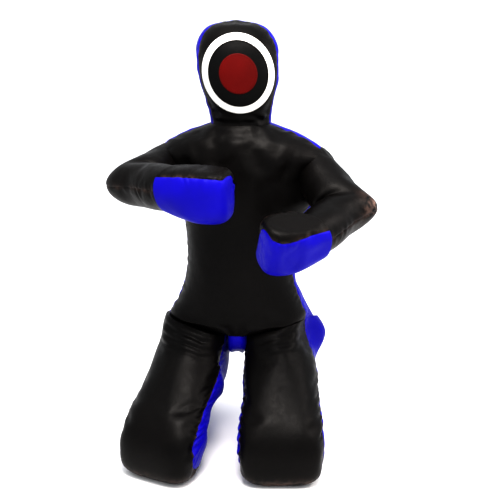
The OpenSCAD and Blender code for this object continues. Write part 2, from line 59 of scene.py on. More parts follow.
def row_frame(p):
    return (np.asarray(p, float) + CENTRING) * MM


# ---- Sections: [centre, half-width, half-depth, squareness]

def unit(v):
    v = np.asarray(v, float)
    return v / np.linalg.norm(v)


def across(c, along, side, w, d, n):
    v = unit(np.cross(along, side))
    u = unit(np.cross(v, along))
    return [np.asarray(c, float), u * w / 2, v * d / 2, n]


def turned(p, a):
    c, s = math.cos(math.radians(a)), math.sin(math.radians(a))
    return np.array([p[0] * c - p[1] * s, p[0] * s + p[1] * c, p[2]])


def packed(sections):
    return np.array([np.concatenate([s[0], s[1], s[2], [s[3]]]) for s in sections])


def section_at(sections, t):
    t = np.asarray(t, float)
    last = len(sections) - 1
    i = np.clip(np.floor(t).astype(int), 0, last - 1)
    f = (t - i)[..., None]
    a, b, c, d = (sections[np.clip(i + k, 0, last)] for k in (-1, 0, 1, 2))
    return 0.5 * (2 * b + (c - a) * f + (2 * a - 5 * b + 4 * c - d) * f ** 2
                  + (3 * b - a - 3 * c + d) * f ** 3)


def rim_points(s, angles):
    """s is (rows, 10) and angles (rows, m) or (m,), in degrees."""
    a = np.radians(np.broadcast_to(angles, (len(s), np.shape(angles)[-1])))
    power = 2 / s[:, 9:10]
    x = np.sign(np.cos(a)) * np.abs(np.cos(a)) ** power
    y = np.sign(np.sin(a)) * np.abs(np.sin(a)) ** power
    p = s[:, None, 0:3] + x[..., None] * s[:, None, 3:6] + y[..., None] * s[:, None, 6:9]
    p[..., 2] = np.maximum(p[..., 2], 0)
    return p


def level(z, w, front, back, n, drop=0):
    return [np.array([0, (back - front) / 2, z - drop / 2]), np.array([w / 2, 0, 0]),
            np.array([0, -(front + back) / 2, drop / 2]), n]


NECK_Z, CROWN_Z = 893.0, 1155.0
HIPS, DROP = 398.0, 43.0
trunk = packed([level(NECK_Z - d, w, f, b, n, drop) for d, w, f, b, n, drop in [
    (0, 162, 78, 72, 2.1, 0), (21, 284, 88, 82, 2, 0), (43, 376, 98, 90, 2, 0),
    (65, 438, 104, 96, 2, 0), (86, 466, 108, 99.64, 2, 0), (114, 388, 112.36, 99.64, 2.1, 0),
    (148, 318, 112.36, 99.64, 2.4, 0), (215, 306, 112.36, 99.64, 2.5, 0),
    (285, 294, 112.36, 99.64, 2.5, 0), (350, 288, 114.36, 99.64, 2.5, 0),
    (420, 302, 114.36, 104, 2.5, 0), (480, 346, 112.36, 114, 2.5, 0),
    (520, HIPS, 106, 124, 2.8, DROP), (537, HIPS * 0.66, 105, 118, 5, DROP),
    (553, HIPS * 0.34, 102, 102, 6, DROP), (566, HIPS * 0.09, 97, 84, 6, DROP)]])
gusset = packed([level(NECK_Z - d, w, f, b, n, DROP) for d, w, f, b, n in [
    (560, 52, 98, 86, 4), (582, 60, 94, 82, 3.4), (600, 56, 84, 72, 3), (612, 34, 66, 54, 2.4),
    (616, 8, 44, 36, 2)]])


HEAD_YAW, HEAD_LEAN = 8, 3


def head_level(z, w, front, back, n):
    s = level(z, w, front, back, n)
    lean = np.array([-(z - NECK_Z) * math.tan(math.radians(HEAD_LEAN)), 0, 0])
    return [turned(s[0], HEAD_YAW) + lean, turned(s[1], HEAD_YAW), turned(s[2], HEAD_YAW), n]


HEAD_H = CROWN_Z - NECK_Z
head = packed([head_level(NECK_Z + HEAD_H * f, *rest) for f, *rest in [
    (0.004, 158, 76, 70, 2.1), (0.10, 164, 84, 74, 2.2), (0.24, 184, 96, 84, 2.3),
    (0.42, 208, 104, 94, 2.4), (0.58, 216, 107, 100, 2.4), (0.75, 211, 103, 98, 2.3),
    (0.88, 180, 84, 82, 2.2), (0.96, 126, 55, 54, 2.1), (1.0, 24, 11, 11, 2)]])

ARMHOLE = np.array([-188.0, 0, 776])
JOINTS = {
    "right": dict(root=ARMHOLE, elbow=[-249, -140, 750], wrist=[-130, -256, 760],
                  bend=[1, -0.1, 0.05], aim=[0.97, -0.22, -0.04], up=[0.04, -0.16, 0.98]),
    "left": dict(root=ARMHOLE * [-1, 1, 1], elbow=[282, -110, 690], wrist=[206, -252, 650],
                 bend=[-1, -0.1, -0.1], aim=[-0.87, -0.49, -0.08], up=[0.02, -0.49, 0.87]),
}
ARM_D, FOREARM_D, HAND_L, HAND_H, HAND_T = 118.0, 114.0, 152.0, 132.0, 114.0


def arm_sections(j):
    root, elbow, wrist = (np.asarray(j[k], float) for k in ("root", "elbow", "wrist"))
    bend = j["bend"]
    upper, lower = unit(elbow - root), unit(wrist - elbow)
    mitre = unit(upper + lower)
    stretch = 1 / (upper @ mitre)
    reach, fore = np.linalg.norm(elbow - root), np.linalg.norm(wrist - elbow)
    return packed([
        across(root - upper * 50, upper, bend, ARM_D + 4, ARM_D + 8, 2),
        across(root + upper * 30, upper, bend, ARM_D + 4, ARM_D + 8, 2),
        across(root + upper * reach * 0.46, upper, bend, ARM_D + 12, ARM_D + 2, 2),
        across(elbow - upper * 46, upper, bend, ARM_D + 12, ARM_D, 2),
        across(elbow, mitre, bend, ARM_D * (stretch + 0.06), ARM_D - 6, 2),
        across(elbow + lower * 50, lower, bend, FOREARM_D + 4, FOREARM_D - 4, 2),
        across(elbow + lower * fore * 0.66, lower, bend, FOREARM_D, FOREARM_D, 2.1),
        across(wrist, lower, bend, FOREARM_D - 10, FOREARM_D - 2, 2.2)])


def hand_sections(j, side):
    elbow, wrist = np.asarray(j["elbow"], float), np.asarray(j["wrist"], float)
    start, aim, up = unit(wrist - elbow), unit(j["aim"]), unit(j["up"])
    palm = np.cross(up, aim) if side == "right" else np.cross(aim, up)

    def lifted(s):
        return [s[0], s[1], s[2] if s[2] @ up > 0 else -s[2], s[3]]

    sections = [lifted(across(wrist + start * 1.5, start, palm, HAND_T, HAND_H * 0.86, 2.3))]
    for f, drop, w, h, n in [
            (0.24, 3, HAND_T + 4, HAND_H * 0.96, 2.8), (0.50, 5, HAND_T + 2, HAND_H, 3.4),
            (0.76, 4, HAND_T * 0.96, HAND_H * 0.99, 3.4),
            (0.91, 3, HAND_T * 0.78, HAND_H * 0.93, 3.2),
            (0.98, 2, HAND_T * 0.50, HAND_H * 0.76, 2.8), (1, 2, HAND_T * 0.2, HAND_H * 0.34, 2.2)]:
        sections.append(lifted(across(wrist + aim * HAND_L * f - up * drop, aim, palm, w, h, n)))
    return packed(sections)


# A leg's front and back points as forward, up, then width, squareness and the turn to the shin.
LEG = [
    (104, 345, -118, 299, 188, 2.8, 0), (146, 300, -128, 252, 194, 2.5, 0),
    (200, 250, -76, 198, 204, 2.8, 0), (254, 204, 26, 164, 208, 3.1, 0),
    (304, 162, 122, 136, 214, 3.4, 0), (336, 120, 176, 119, 217, 3.6, 0),
    (348, 72, 188, 114, 219, 3.8, 0), (340, 21, 189, 110, 216, 3.8, 0),
    (304, -4, 179, 108, 206, 3.4, 0.06), (262, -5, 168, 107, 184, 3.0, 0.3),
    (196, -5, 146, 106, 150, 2.8, 0.65), (96, -5, 84, 104, 132, 2.7, 1),
    (4, -5, 4, 96, 116, 2.6, 1), (-66, -5, -62, 84, 98, 2.6, 1),
    (-114, -5, -108, 80, 100, 2.6, 1), (-148, -4, -146, 76, 102, 2.6, 1),
    (-172, 2, -174, 66, 92, 2.5, 1), (-186, 12, -188, 52, 66, 2.3, 1),
    (-192, 28, -192, 36, 12, 2, 1)]
KNEE_SEAM, ANKLE_SEAM = 7, 14
HIP_X, KNEE_FORWARD, LEFT_REACH = 104.0, 262.0, 0.93
THIGH_YAW = {"right": 14.0, "left": 8.0}
SIDE = {"right": -1, "left": 1}


def leg_point(f, z, side, thigh_yaw, yaw):
    reach = LEFT_REACH if side > 0 else 1
    knee = KNEE_FORWARD * reach
    seat = min(f, 0) if yaw == thigh_yaw else 0
    forward = f * reach if f > 0 else f - seat
    return (turned([0, -knee, 0], side * thigh_yaw) + turned([0, knee - forward, z], side * yaw)
            + np.array([side * HIP_X, -seat, 0]))


def leg_sections(name):
    side, thigh_yaw = SIDE[name], THIGH_YAW[name]
    out = []
    for i, (ff, fz, bf, bz, w, n, turn) in enumerate(LEG):
        yaw = thigh_yaw + (-1 - thigh_yaw) * turn
        share = min(1, max(0, ff) / 300) * (1 - turn)
        twist = 0 if side > 0 else -6 * share
        front = leg_point(ff, fz, side, thigh_yaw, yaw)
        back = leg_point(bf, bz, side, thigh_yaw, yaw)
        wide = turned([w / 2, 0, 0], side * yaw + twist)
        wide[2] += wide[0] * side * 0.25 * max(0, 1 - i / 2)
        out.append([(front + back) / 2, wide, turned((front - back) / 2, twist), n])
    return packed(out)


# ---- Shells: a grid of points round a limb, with its seams along grid lines

def even_rows(sections, t0, t1, step, stops=()):
    """Places along the sections about step apart, with one at each stop."""
    marks = [t0, *stops, t1]
    out = [t0]
    for a, b in zip(marks[:-1], marks[1:]):
        t = np.linspace(a, b, 240)
        p = rim_points(section_at(sections, t), np.array([0, 90, 180, 270.0]))
        run = np.linalg.norm(np.diff(p, axis=0), axis=2).mean(1)
        along = np.concatenate([[0], np.cumsum(run)])
        n = max(2, int(round(along[-1] / step)))
        out += list(np.interp(np.linspace(0, along[-1], n + 1), along, t)[1:])
    return np.array(out)


def shell(sections, t, seams, counts):
    """Grid (rows, columns, 3): between two seam angles the columns are evenly spaced."""
    return shell_and_angles(sections, t, seams, counts)[0]


def shell_and_angles(sections, t, seams, counts):
    s = section_at(sections, t)
    parts, turns = [], []
    for k, n in enumerate(counts):
        a, b = seams[k], seams[k + 1]
        angles = np.linspace(a, b, 320)
        p = rim_points(s, angles)
        run = np.linalg.norm(np.diff(p, axis=1), axis=2)
        along = np.concatenate([np.zeros((len(s), 1)), np.cumsum(run, 1)], 1)
        even = np.arange(n) / n
        rows = [np.stack([np.interp(even * along[r, -1], along[r], p[r, :, c])
                          for c in range(3)], 1) for r in range(len(s))]
        parts.append(np.array(rows))
        turns.append(np.array([np.interp(even * along[r, -1], along[r], angles)
                               for r in range(len(s))]))
    return np.concatenate(parts, 1), np.concatenate(turns, 1)


def grid_mesh(name, grid):
    rows, cols = grid.shape[:2]
    i, j = np.meshgrid(np.arange(rows - 1), np.arange(cols), indexing="ij")
    a = i * cols + j
    b = i * cols + (j + 1) % cols
    faces = np.stack([a, b, b + cols, a + cols], -1).reshape(-1, 4).tolist()
    faces += [list(range(cols))[::-1], [(rows - 1) * cols + k for k in range(cols)]]
    mesh = bpy.data.meshes.new(name)
    mesh.from_pydata((row_frame(grid).reshape(-1, 3)).tolist(), [], faces)
    mesh.update()
    return mesh


def grid_normals(grid):
    """Outward normals of a grid that closes round in its columns."""
    du = np.roll(grid, -1, 1) - np.roll(grid, 1, 1)
    dv = np.gradient(grid, axis=0)
    n = np.cross(du, dv)
    n /= np.maximum(np.linalg.norm(n, axis=2, keepdims=True), 1e-9)
    out = grid - grid.mean(1, keepdims=True)
    if (n * out).sum() < 0:
        n = -n
    return n


def blurred(field, times):
    for _ in range(times):
        up = np.concatenate([field[:1], field[:-1]])
        down = np.concatenate([field[1:], field[-1:]])
        field = (2 * field + np.roll(field, 1, 1) + np.roll(field, -1, 1) + up + down) / 6
    return field


SOFTEN = 3


def stuffed(name, grid, hold, grow, pressure, cap, bend=0.4, frames=18):
    """The grid blown up by a cloth simulation. hold (rows, columns) is 1 where it is held."""
    mesh = grid_mesh(name + "_cloth", grid)
    obj = bpy.data.objects.new(name + "_cloth", mesh)
    scene.collection.objects.link(obj)
    held = obj.vertex_groups.new(name="held")
    flat = hold.reshape(-1)
    for w in np.unique(np.round(flat, 2)):
        if w > 0:
            same = np.abs(np.round(flat, 2) - w) < 1e-6
            held.add(np.nonzero(same)[0].tolist(), float(w), "REPLACE")
    cloth = obj.modifiers.new("cloth", "CLOTH")
    c = cloth.settings
    c.quality = 5
    c.mass = 0.3
    c.tension_stiffness = c.compression_stiffness = 18
    c.shear_stiffness = 6
    c.bending_stiffness = bend
    c.air_damping = 2
    c.vertex_group_mass = "held"
    c.pin_stiffness = 2
    c.shrink_min = -grow
    c.use_pressure = True
    c.uniform_pressure_force = pressure
    c.effector_weights.gravity = 0
    cloth.collision_settings.use_collision = False
    cloth.point_cache.frame_start = 1
    cloth.point_cache.frame_end = frames
    for f in range(1, frames + 1):
        scene.frame_set(f)
    ev = obj.evaluated_get(bpy.context.evaluated_depsgraph_get())
    co = np.empty(len(mesh.vertices) * 3, np.float32)
    ev.data.vertices.foreach_get("co", co)
    new = co.reshape(grid.shape).astype(float) / MM - CENTRING
    bpy.data.objects.remove(obj)
    scene.frame_set(1)
    move = new - grid
    # the wrinkles stay, and most of the overall swelling goes
    broad = blurred(move, 40)
    move = blurred(move - 0.75 * broad, SOFTEN)
    size = np.linalg.norm(move, axis=2, keepdims=True)
    return grid + move * np.minimum(1, cap / np.maximum(size, 1e-9))


def doubled(grid):
    """Twice as many rows and columns on a smooth curve through the points."""
    def between(g, wrap):
        if wrap:
            a, b, c, d = np.roll(g, 1, 0), g, np.roll(g, -1, 0), np.roll(g, -2, 0)
            mid = (-a + 9 * b + 9 * c - d) / 16
            out = np.empty((2 * len(g),) + g.shape[1:])
            out[0::2], out[1::2] = g, mid
            return out
        a = np.concatenate([g[:1], g[:-2]])
        d = np.concatenate([g[2:], g[-1:]])
        mid = (-a + 9 * g[:-1] + 9 * g[1:] - d) / 16
        out = np.empty((2 * len(g) - 1,) + g.shape[1:])
        out[0::2], out[1::2] = g, mid
        return out
    grid = between(grid, False)
    return np.swapaxes(between(np.swapaxes(grid, 0, 1), True), 0, 1)


def recut(grid, turns, seams, counts):
    """The grid with its columns moved, so that each seam is at its own angle in every row."""
    rows, cols = grid.shape[:2]
    out = np.empty((rows, sum(counts), 3))
    for r in range(rows):
        known = np.append(turns[r], turns[r, 0] + 360)
        marks = np.interp([s[r] for s in seams], known, np.arange(cols + 1))
        x = np.concatenate([a + (b - a) * np.arange(n) / n
                            for a, b, n in zip(marks[:-1], marks[1:], counts)])
        i = np.floor(x).astype(int)
        f = (x - i)[:, None]
        a, b, c, d = (grid[r, (i + k) % cols] for k in (-1, 0, 1, 2))
        out[r] = 0.5 * (2 * b + (c - a) * f + (2 * a - 5 * b + 4 * c - d) * f ** 2
                        + (3 * b - a - 3 * c + d) * f ** 3)
    return out


def line_distance(grid, line):
    """Distance of every grid point from a line of points, and its share along the line."""
    p = grid.reshape(-1, 3)
    line = np.asarray(line, float)
    best, share = np.full(len(p), 1e9), np.zeros(len(p))
    for k in range(len(line) - 1):
        a, d = line[k], line[k + 1] - line[k]
        f = np.clip((p - a) @ d / (d @ d), 0, 1)
        r = np.linalg.norm(p - a - f[:, None] * d, axis=1)
        near = r < best
        best[near], share[near] = r[near], ((k + f) / (len(line) - 1))[near]
    return best.reshape(grid.shape[:2]), share.reshape(grid.shape[:2])


def crease(grid, normals, line, deep, wide, lip=0.35, fade=True):
    """A valley along a line, with a soft lip on both sides, that fades out at its ends."""
    r, f = line_distance(grid, line)
    x = r / wide
    shape = -np.exp(-x * x) + lip * np.exp(-((x - 2.0) ** 2))
    if fade:
        shape = shape * np.clip(np.sin(np.pi * np.clip(f, 0.02, 0.98)) * 1.6, 0, 1)
    return shape[..., None] * deep * normals


def bump(grid, normals, centre, radius, high):
    d = (grid - np.asarray(centre, float)) / np.asarray(radius, float)
    return np.exp(-(d * d).sum(2))[..., None] * high * normals


def swell(grid, centre, radius, push, behind=None):
    """A soft bulge pushed along a fixed direction, kept behind a depth if one is given."""
    d = (grid - np.asarray(centre, float)) / np.asarray(radius, float)
    amount = np.exp(-(d * d).sum(2))
    if behind is not None:
        x = np.clip((grid[..., 1] - behind) / 45, 0, 1)
        amount = amount * x * x * (3 - 2 * x)
    return amount[..., None] * np.asarray(push, float)


# Fuller under the arms, where the sleeves press on the sides.
SIDE_SWELLS = (dict(centre=(-150, 0, 716), radius=(70, 80, 52), push=(-26, 0, 0)),
               dict(centre=(150, -6, 704), radius=(70, 76, 52), push=(50, 0, 0)))
# The buttock swells out behind the left hip and the hip's front is tucked in, on the trunk
# and the thigh alike.
HIP_SWELL = dict(centre=(196, 70, 292), radius=(75, 66, 50), push=(36, 0, 0), behind=0)
HIP_TUCK = dict(centre=(205, -42, 325), radius=(85, 76, 50), push=(-31, 0, 0))


# ---- Noise along a line, for puckers and wavy seams

def seam_columns(counts):
    """Column of each seam on the doubled grid."""
    return [2 * int(c) for c in np.concatenate([[0], np.cumsum(counts)[:-1]])]


def puckers(grid, normals, column, per_row, length, wide, deep, weight, wave=0.5):
    """Short creases that run away from a seam on both sides, and a slight wave of the seam."""
    rows, cols = grid.shape[:2]
    r = np.arange(rows)[:, None]
    away = (np.arange(cols) - column + cols / 2) % cols - cols / 2
    away = away[None, :]
    field = np.zeros((rows, cols))
    for side in (-1, 1):
        for k in range(int(rows * per_row)):
            at, size = rng.uniform(0, rows), rng.uniform(0.5, 1.5)
            long, slant = length * rng.uniform(0.5, 1.4), rng.uniform(-0.35, 0.35)
            w = wide * rng.uniform(0.7, 1.3)
            d = np.abs(away)
            mine = (away * side >= 0) | (d < 1)
            line = at + slant * d + 0.8 * np.sin(d / 3 + k)
            fall = np.exp(-(d / long) ** 2) * (1 - 0.35 * np.exp(-(d / 2) ** 2))
            x = (r - line) / w
            field += mine * fall * size * (-np.exp(-x * x) + 0.5 * np.exp(-(x - 1.7) ** 2)
                                           + 0.3 * np.exp(-(x + 1.7) ** 2))
    waves = np.zeros(rows)
    for _ in range(6):
        waves += rng.normal() * np.sin(np.arange(rows) * rng.uniform(0.25, 1.1) + rng.uniform(0, 6))
    field += wave * waves[:, None] * np.exp(-(away / 4.0) ** 2) / 2.4
    return (field * deep * weight)[..., None] * normals


def with_seams(grid, columns, deep=1.9, near=0.26):
    """Two more columns beside each seam, and a narrow groove along it."""
    normals = grid_normals(grid)
    cols = grid.shape[1]
    out, out_n, where = [], [], []
    for j in range(cols):
        before, after = (j - 1) % cols, (j + 1) % cols
        if j in columns:
            for other, share, sink in ((before, near, 0.42), (j, 0, 1.0), (after, near, 0.42)):
                if other == j:
                    where.append(len(out))
                n = normals[:, j]
                out.append(grid[:, j] * (1 - share) + grid[:, other] * share - n * deep * sink)
                out_n.append(n)
        else:
            out.append(grid[:, j])
            out_n.append(normals[:, j])
    return np.stack(out, 1), where


# ---- Pieces: a patch of a shell with the thickness of leather

MATERIALS = {}


def mesh_object(name, verts, faces, rest=None, wear_and_sheen=None, slot=None, normals=None):
    mesh = bpy.data.meshes.new(name)
    mesh.from_pydata(verts.tolist(), [], faces)
    if normals is not None:
        mesh.shade_smooth()
        mesh.normals_split_custom_set(normals)
    rest = verts if rest is None else rest
    a = mesh.attributes.new("rest", "FLOAT_VECTOR", "POINT")
    a.data.foreach_set("vector", np.asarray(rest, np.float32).ravel())
    w = mesh.attributes.new("wear_and_sheen", "FLOAT", "POINT")
    w.data.foreach_set("value", np.asarray(
        np.zeros(len(verts)) if wear_and_sheen is None else wear_and_sheen, np.float32).ravel())
    obj = bpy.data.objects.new(name, mesh)
    scene.collection.objects.link(obj)
    if slot:
        mesh.materials.append(MATERIALS[slot])
    return obj


def patch(name, grid, rows, cols, slot, replaces, ride=None, blend=None, fill=0.85, wear_and_sheen=None,
          shift=None):
    """The part of a shell between two rows and two columns, with thickness."""
    normals = grid_normals(grid)
    r = np.arange(rows[0], rows[1] + 1)
    c = np.arange(cols[0], cols[1] + 1) % grid.shape[1]
    p, n = grid[np.ix_(r, c)].copy(), normals[np.ix_(r, c)]
    if shift is not None:
        p = shift(p)
    nr, nc = p.shape[:2]
    outer, inner = p.reshape(-1, 3), (p - n * THICK).reshape(-1, 3)
    inner[:, 2] = np.maximum(inner[:, 2], 0.3)
    verts = row_frame(np.concatenate([outer, inner]))
    flat_n = n.reshape(-1, 3)
    size = nr * nc
    i, j = np.meshgrid(np.arange(nr - 1), np.arange(nc - 1), indexing="ij")
    a = (i * nc + j).ravel()
    out = np.stack([a, a + 1, a + nc + 1, a + nc], 1)
    # turn the faces to look outwards
    q = outer[out[len(out) // 2]]
    look = np.cross(q[1] - q[0], q[3] - q[0]) @ flat_n[out[len(out) // 2][0]]
    if look < 0:
        out = out[:, ::-1]
    faces = [out, out[:, ::-1] + size]
    loop_n = [flat_n[out.ravel()], -flat_n[(out[:, ::-1]).ravel()]]
    def rim(line):
        line = np.asarray(line)
        quads = np.stack([line[:-1], line[1:], line[1:] + size, line[:-1] + size], 1)
        edge = {tuple(e) for f in out[(np.isin(out, line).sum(1) > 1)]
                for e in zip(f, np.roll(f, -1))}
        if (quads[0][0], quads[0][1]) in edge:
            quads = quads[:, ::-1]
        v = verts[quads]
        fn = np.cross(v[:, 1] - v[:, 0], v[:, 3] - v[:, 0])
        fn /= np.maximum(np.linalg.norm(fn, axis=1, keepdims=True), 1e-12)
        faces.append(quads)
        loop_n.append(np.repeat(fn, 4, 0))
    rim(np.arange(nc))
    rim((nr - 1) * nc + np.arange(nc))
    rim(np.arange(nr) * nc)
    rim(np.arange(nr) * nc + nc - 1)
    faces = np.concatenate(faces)
    loop_n = np.concatenate(loop_n)
    worn_and_sheen = None
    if wear_and_sheen is not None:
        w = wear_and_sheen[np.ix_(r, c)].ravel()
        worn_and_sheen = np.concatenate([w, w])
    obj = mesh_object(name, verts, faces.tolist(), None, worn_and_sheen, slot, loop_n.tolist())
    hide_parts(*replaces)
    if ride:
        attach(obj, ride)
    if blend:
        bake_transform(obj)
    return obj


# ---- Materials

def shader(name):
    mat = bpy.data.materials.new(name)
    mat.use_nodes = True
    tree = mat.node_tree
    return mat, tree, tree.nodes["Principled BSDF"]


def add(tree, kind, inputs=None, **settings):
    n = tree.nodes.new("ShaderNode" + kind)
    for k, v in settings.items():
        setattr(n, k, v)
    for k, v in (inputs or {}).items():
        if isinstance(v, bpy.types.NodeSocket):
            tree.links.new(v, n.inputs[k])
        else:
            n.inputs[k].default_value = v
    return n


def colour_mix(tree, fac, a, b):
    n = add(tree, "Mix", data_type="RGBA")
    for socket, value in ((n.inputs[0], fac), (n.inputs[6], a), (n.inputs[7], b)):
        if isinstance(value, bpy.types.NodeSocket):
            tree.links.new(value, socket)
        else:
            socket.default_value = (*value, 1)
    return n.outputs[2]


def leather(name, base, deep, worn_and_sheen, rough=0.42, grain=1.0, spec=0.5):
    """Fine-grained leather: pebbles, soft wrinkles, patchy gloss, and scuffs in a lighter colour
    where marked, a colour that on the left elbow is a painted highlight as well.
    """
    mat, t, bsdf = shader(name)
    place = add(t, "Attribute", attribute_name="rest").outputs["Vector"]
    pebble = add(t, "TexVoronoi", {"Vector": place, "Scale": 430.0},
                 feature="DISTANCE_TO_EDGE").outputs["Distance"]
    pore = add(t, "TexNoise", {"Vector": place, "Scale": 1500.0, "Detail": 3.0})
    fold = add(t, "TexNoise", {"Vector": place, "Scale": 55.0, "Detail": 5.0,
                               "Roughness": 0.55, "Distortion": 0.6})
    broad = add(t, "TexNoise", {"Vector": place, "Scale": 7.0, "Detail": 3.0})
    edge = add(t, "MapRange", {"Value": pebble, "From Min": 0.0, "From Max": 0.16})
    b1 = add(t, "Bump", {"Strength": 0.30, "Distance": 0.0016,
                         "Height": fold.outputs["Fac"]})
    b2 = add(t, "Bump", {"Strength": 0.30 * grain, "Distance": 0.00025,
                         "Height": edge.outputs["Result"], "Normal": b1.outputs["Normal"]})
    b3 = add(t, "Bump", {"Strength": 0.15 * grain, "Distance": 0.0001,
                         "Height": pore.outputs["Fac"], "Normal": b2.outputs["Normal"]})
    t.links.new(b3.outputs["Normal"], bsdf.inputs["Normal"])
    shade = add(t, "MapRange", {"Value": broad.outputs["Fac"], "From Min": 0.35,
                                "From Max": 0.65})
    colour = colour_mix(t, shade.outputs["Result"], deep, base)
    # the marked amount carries real scuffs and, on the left elbow, a painted highlight
    wear_and_sheen = add(t, "Attribute", attribute_name="wear_and_sheen").outputs["Fac"]
    patchy = add(t, "TexNoise", {"Vector": place, "Scale": 38.0, "Detail": 6.0,
                                 "Roughness": 0.7})
    patches = add(t, "MapRange", {"Value": patchy.outputs["Fac"], "From Min": 0.42,
                                "From Max": 0.66})
    amount = add(t, "Math", {0: wear_and_sheen, 1: patches.outputs["Result"]}, operation="MULTIPLY")
    colour = colour_mix(t, amount.outputs[0], colour, worn_and_sheen)
    t.links.new(colour, bsdf.inputs["Base Color"])
    gloss = add(t, "MapRange", {"Value": fold.outputs["Fac"], "From Min": 0.3,
                                "From Max": 0.7, "To Min": rough - 0.05,
                                "To Max": rough + 0.08})
    dull = add(t, "Math", {0: amount.outputs[0], 1: 0.18, 2: gloss.outputs["Result"]},
               operation="MULTIPLY_ADD")
    t.links.new(dull.outputs[0], bsdf.inputs["Roughness"])
    bsdf.inputs["Specular IOR Level"].default_value = spec
    return mat


def woven(name, base, deep):
    """Zip tape: a tight herringbone of fine ribs."""
    mat, t, bsdf = shader(name)
    place = add(t, "TexCoord").outputs["Object"]
    rib = add(t, "TexWave", {"Vector": place, "Scale": 420.0, "Distortion": 0.4},
              bands_direction="DIAGONAL")
    pick = add(t, "TexWave", {"Vector": place, "Scale": 500.0}, bands_direction="Z")
    height = add(t, "Math", {0: rib.outputs["Fac"], 1: pick.outputs["Fac"]},
                 operation="ADD")
    b = add(t, "Bump", {"Strength": 0.6, "Distance": 0.0003, "Height": height.outputs[0]})
    t.links.new(b.outputs["Normal"], bsdf.inputs["Normal"])
    t.links.new(colour_mix(t, rib.outputs["Fac"], deep, base), bsdf.inputs["Base Color"])
    bsdf.inputs["Roughness"].default_value = 0.85
    return mat


def metal(name, base, deep):
    """Brushed zip metal with darker hollows."""
    mat, t, bsdf = shader(name)
    place = add(t, "TexCoord").outputs["Object"]
    streak = add(t, "Mapping", {"Vector": place, "Scale": (1.0, 1.0, 0.08)})
    brush = add(t, "TexNoise", {"Vector": streak.outputs["Vector"], "Scale": 2600.0,
                                "Detail": 4.0})
    stain = add(t, "TexNoise", {"Vector": place, "Scale": 160.0, "Detail": 3.0})
    t.links.new(colour_mix(t, stain.outputs["Fac"], deep, base), bsdf.inputs["Base Color"])
    rough = add(t, "MapRange", {"Value": brush.outputs["Fac"], "To Min": 0.22,
                                "To Max": 0.42})
    t.links.new(rough.outputs["Result"], bsdf.inputs["Roughness"])
    b = add(t, "Bump", {"Strength": 0.25, "Distance": 0.0001,
                        "Height": brush.outputs["Fac"]})
    t.links.new(b.outputs["Normal"], bsdf.inputs["Normal"])
    bsdf.inputs["Metallic"].default_value = 1.0
    return mat


MATERIALS.update({
    # black leather's scuff colour is a pale pinkish brown, bright enough to paint the left elbow's
    # highlight
    "black_leather": leather("black_leather", (0.0036, 0.0030, 0.0028),
                             (0.0022, 0.0019, 0.0018), (0.30, 0.19, 0.155), rough=0.40,
                             spec=0.10),
    "blue_leather": leather("blue_leather", (0.0055, 0.0014, 0.31), (0.004, 0.001, 0.23),
                            (0.05, 0.03, 0.55), rough=0.48, spec=0.11),
    "white_leather": leather("white_leather", (0.74, 0.73, 0.71), (0.64, 0.63, 0.60),
                             (0.5, 0.47, 0.43), rough=0.45, grain=0.7),
    "red_leather": leather("red_leather", (0.105, 0.002, 0.0016), (0.07, 0.0014, 0.001),
                           (0.2, 0.03, 0.025), rough=0.55, spec=0.1),
    "target_black": leather("target_black", (0.0026, 0.0026, 0.0028), (0.002, 0.002, 0.002),
                            (0.04, 0.034, 0.034), rough=0.55, spec=0.1),
    "zip_tape": woven("zip_tape", (0.020, 0.014, 0.16), (0.010, 0.008, 0.08)),
    "zip_metal": metal("zip_metal", (0.62, 0.61, 0.59), (0.42, 0.41, 0.40)),
})

# ---- Limbs: simulate, shape, seam, close, and cut into panels


def limb(name, sections, seams, counts, t0, t1, step, stops=(), grow=0.03, pressure=4.0,
         cap=7.0, extra_hold=None, bend=1.5):
    """A limb's simulated grid, doubled, with the row of each stop."""
    t = even_rows(sections, t0, t1, step, stops)
    grid = shell(sections, t, seams, counts)
    hold = np.zeros(grid.shape[:2])
    starts = np.concatenate([[0], np.cumsum(counts)[:-1]]).astype(int)
    hold[:, starts] = 1
    hold[[0, -1]] = 1
    if extra_hold is not None:
        hold = np.maximum(hold, extra_hold(grid, t))
    grid = stuffed(name, grid, hold, grow, pressure, cap, bend)
    grid = doubled(grid)
    rows = [2 * int(np.argmin(np.abs(t - s))) for s in stops]
    return grid, rows


def end_rows(grid, at_start, deep=3.0):
    """Rows that turn the leather in at a limb's end and close it across."""
    ring = grid[0] if at_start else grid[-1]
    nxt = grid[1] if at_start else grid[-2]
    centre = ring.mean(0)
    spokes = ring - centre
    way = np.cross(spokes, np.roll(spokes, -1, 0)).sum(0)
    way /= np.linalg.norm(way)
    if way @ (centre - nxt.mean(0)) < 0:
        way = -way
    length = np.linalg.norm(spokes, axis=1, keepdims=True)
    made = [centre + spokes * np.maximum(1 - inset / length, 0.03) + way * out
            for inset, out in ((0.8, 0.30 * deep), (2.2, 0.62 * deep), (5.0, 0.85 * deep))]
    made += [centre + spokes * np.maximum(1 - 5 / length, 0.03) * f + way * deep
             for f in (0.8, 0.45, 0.03)]
    made = np.array(made)
    return made[::-1] if at_start else made


def finished(grid, columns, start=3.0, end=3.0):
    """Seam grooves and closed ends. Also gives the seam columns and the first true row."""
    grid, where = with_seams(grid, columns)
    first = 0
    if start is not None:
        rows = end_rows(grid, True, start)
        grid, first = np.concatenate([rows, grid]), len(rows)
    if end is not None:
        grid = np.concatenate([grid, end_rows(grid, False, end)])
    grid[..., 2] = np.maximum(grid[..., 2], 0)
    return grid, where, first


